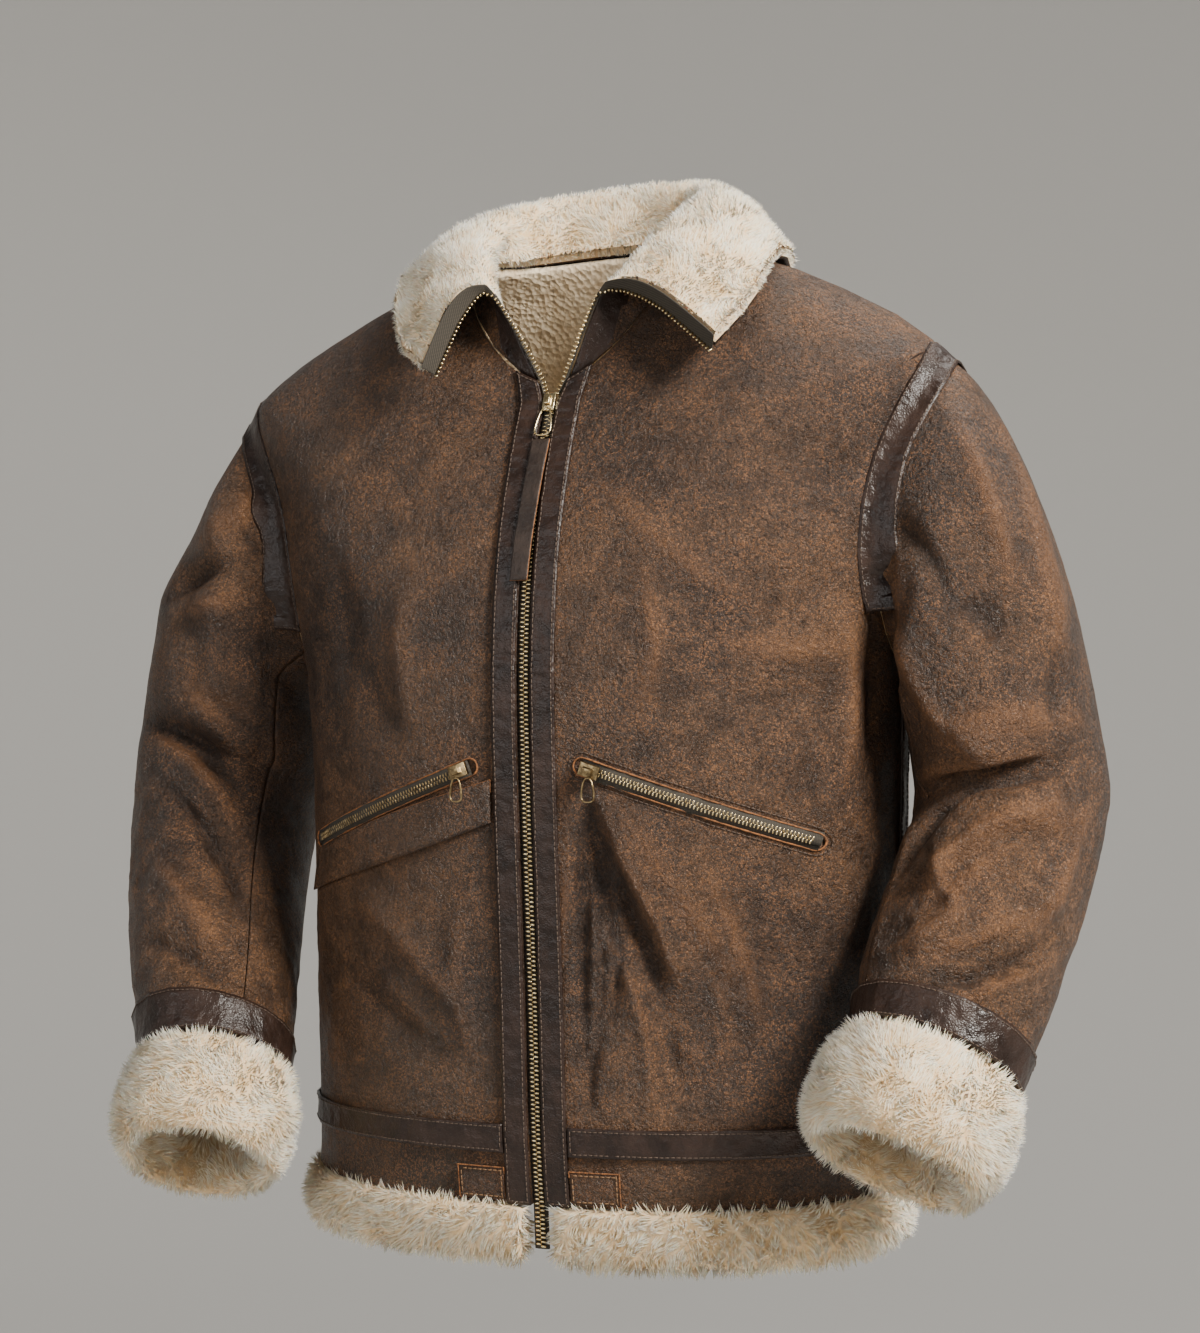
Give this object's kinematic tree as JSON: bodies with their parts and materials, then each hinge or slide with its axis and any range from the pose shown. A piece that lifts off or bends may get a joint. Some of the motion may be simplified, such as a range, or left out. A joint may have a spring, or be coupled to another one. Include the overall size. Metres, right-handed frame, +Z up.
{
  "type": "shearling aviator jacket",
  "caption": "Zip-fronted shearling jacket, hollow as worn, with turned-out wool at collar, cuffs and hem, dark leather seam tapes and slanting zip pockets.",
  "frame": {"origin": "middle of the neck opening, level with the points where the shoulder seams meet the collar, where the wearer's shoulders hold the jacket up", "axes": "+Z up, -Y out of the front, +X towards the wearer's left"},
  "size_m": [0.7656, 0.3694, 0.7984],
  "materials": {
    "leather": "distressed brown skin, satin",
    "trim_leather": "smooth near-black brown, semi-gloss",
    "fleece": "cream wool pile",
    "zip_tape": "dark olive-brown woven tape",
    "brass": "antique",
    "patch_leather": "lighter brown, cut edges"
  },
  "bodies": {
    "jacket": {"armhole_tape_left": "trim_leather", "armhole_tape_right": "trim_leather", "back": "leather", "collar": "fleece", "cuff_fleece_left": "fleece", "cuff_fleece_right": "fleece", "cuff_tape_left": "trim_leather", "cuff_tape_right": "trim_leather", "front_left": "leather", "front_right": "leather", "hem_band_back": "leather", "hem_band_front_left": "leather", "hem_band_front_right": "leather", "hem_fleece_back": "fleece", "hem_fleece_left": "fleece", "hem_fleece_right": "fleece", "hem_patch_left": "patch_leather", "hem_patch_right": "patch_leather", "main_zip": "brass", "placket_left": "trim_leather", "placket_right": "trim_leather", "pocket_facing_right": "leather", "pocket_slider_left": "brass", "pocket_slider_right": "brass", "pocket_zip_left": "brass", "pocket_zip_right": "brass", "side_tape_left": "trim_leather", "side_tape_right": "trim_leather", "top_sleeve_left": "leather", "top_sleeve_right": "leather", "under_sleeve_left": "leather", "under_sleeve_right": "leather", "waist_tape_back": "trim_leather", "waist_tape_left": "trim_leather", "waist_tape_right": "trim_leather", "zip_side_left": "zip_tape", "zip_side_right": "zip_tape", "zip_slider": "brass"},
    "main_pull": {"zip_pull": "brass", "pull_strap": "trim_leather"},
    "left_pocket_pull": {"pocket_pull_left": "brass"},
    "right_pocket_pull": {"pocket_pull_right": "brass"}
  },
  "joints": [
    {"name": "main_pull_hinge", "type": "hinge", "parent": "jacket", "child": "main_pull", "pos_m": [0, -0.08259, -0.1239], "axis": [-1, 0, 0], "range_deg": [0, 110]},
    {"name": "left_pocket_pull_hinge", "type": "hinge", "parent": "jacket", "child": "left_pocket_pull", "pos_m": [0.04902, -0.13208, -0.38429], "axis": [-0.9989, -0.0479, 0.0002], "range_deg": [0, 100]},
    {"name": "right_pocket_pull_hinge", "type": "hinge", "parent": "jacket", "child": "right_pocket_pull", "pos_m": [-0.04933, -0.13259, -0.38377], "axis": [-0.9968, 0.0796, 0.0032], "range_deg": [0, 100]}
  ]
}
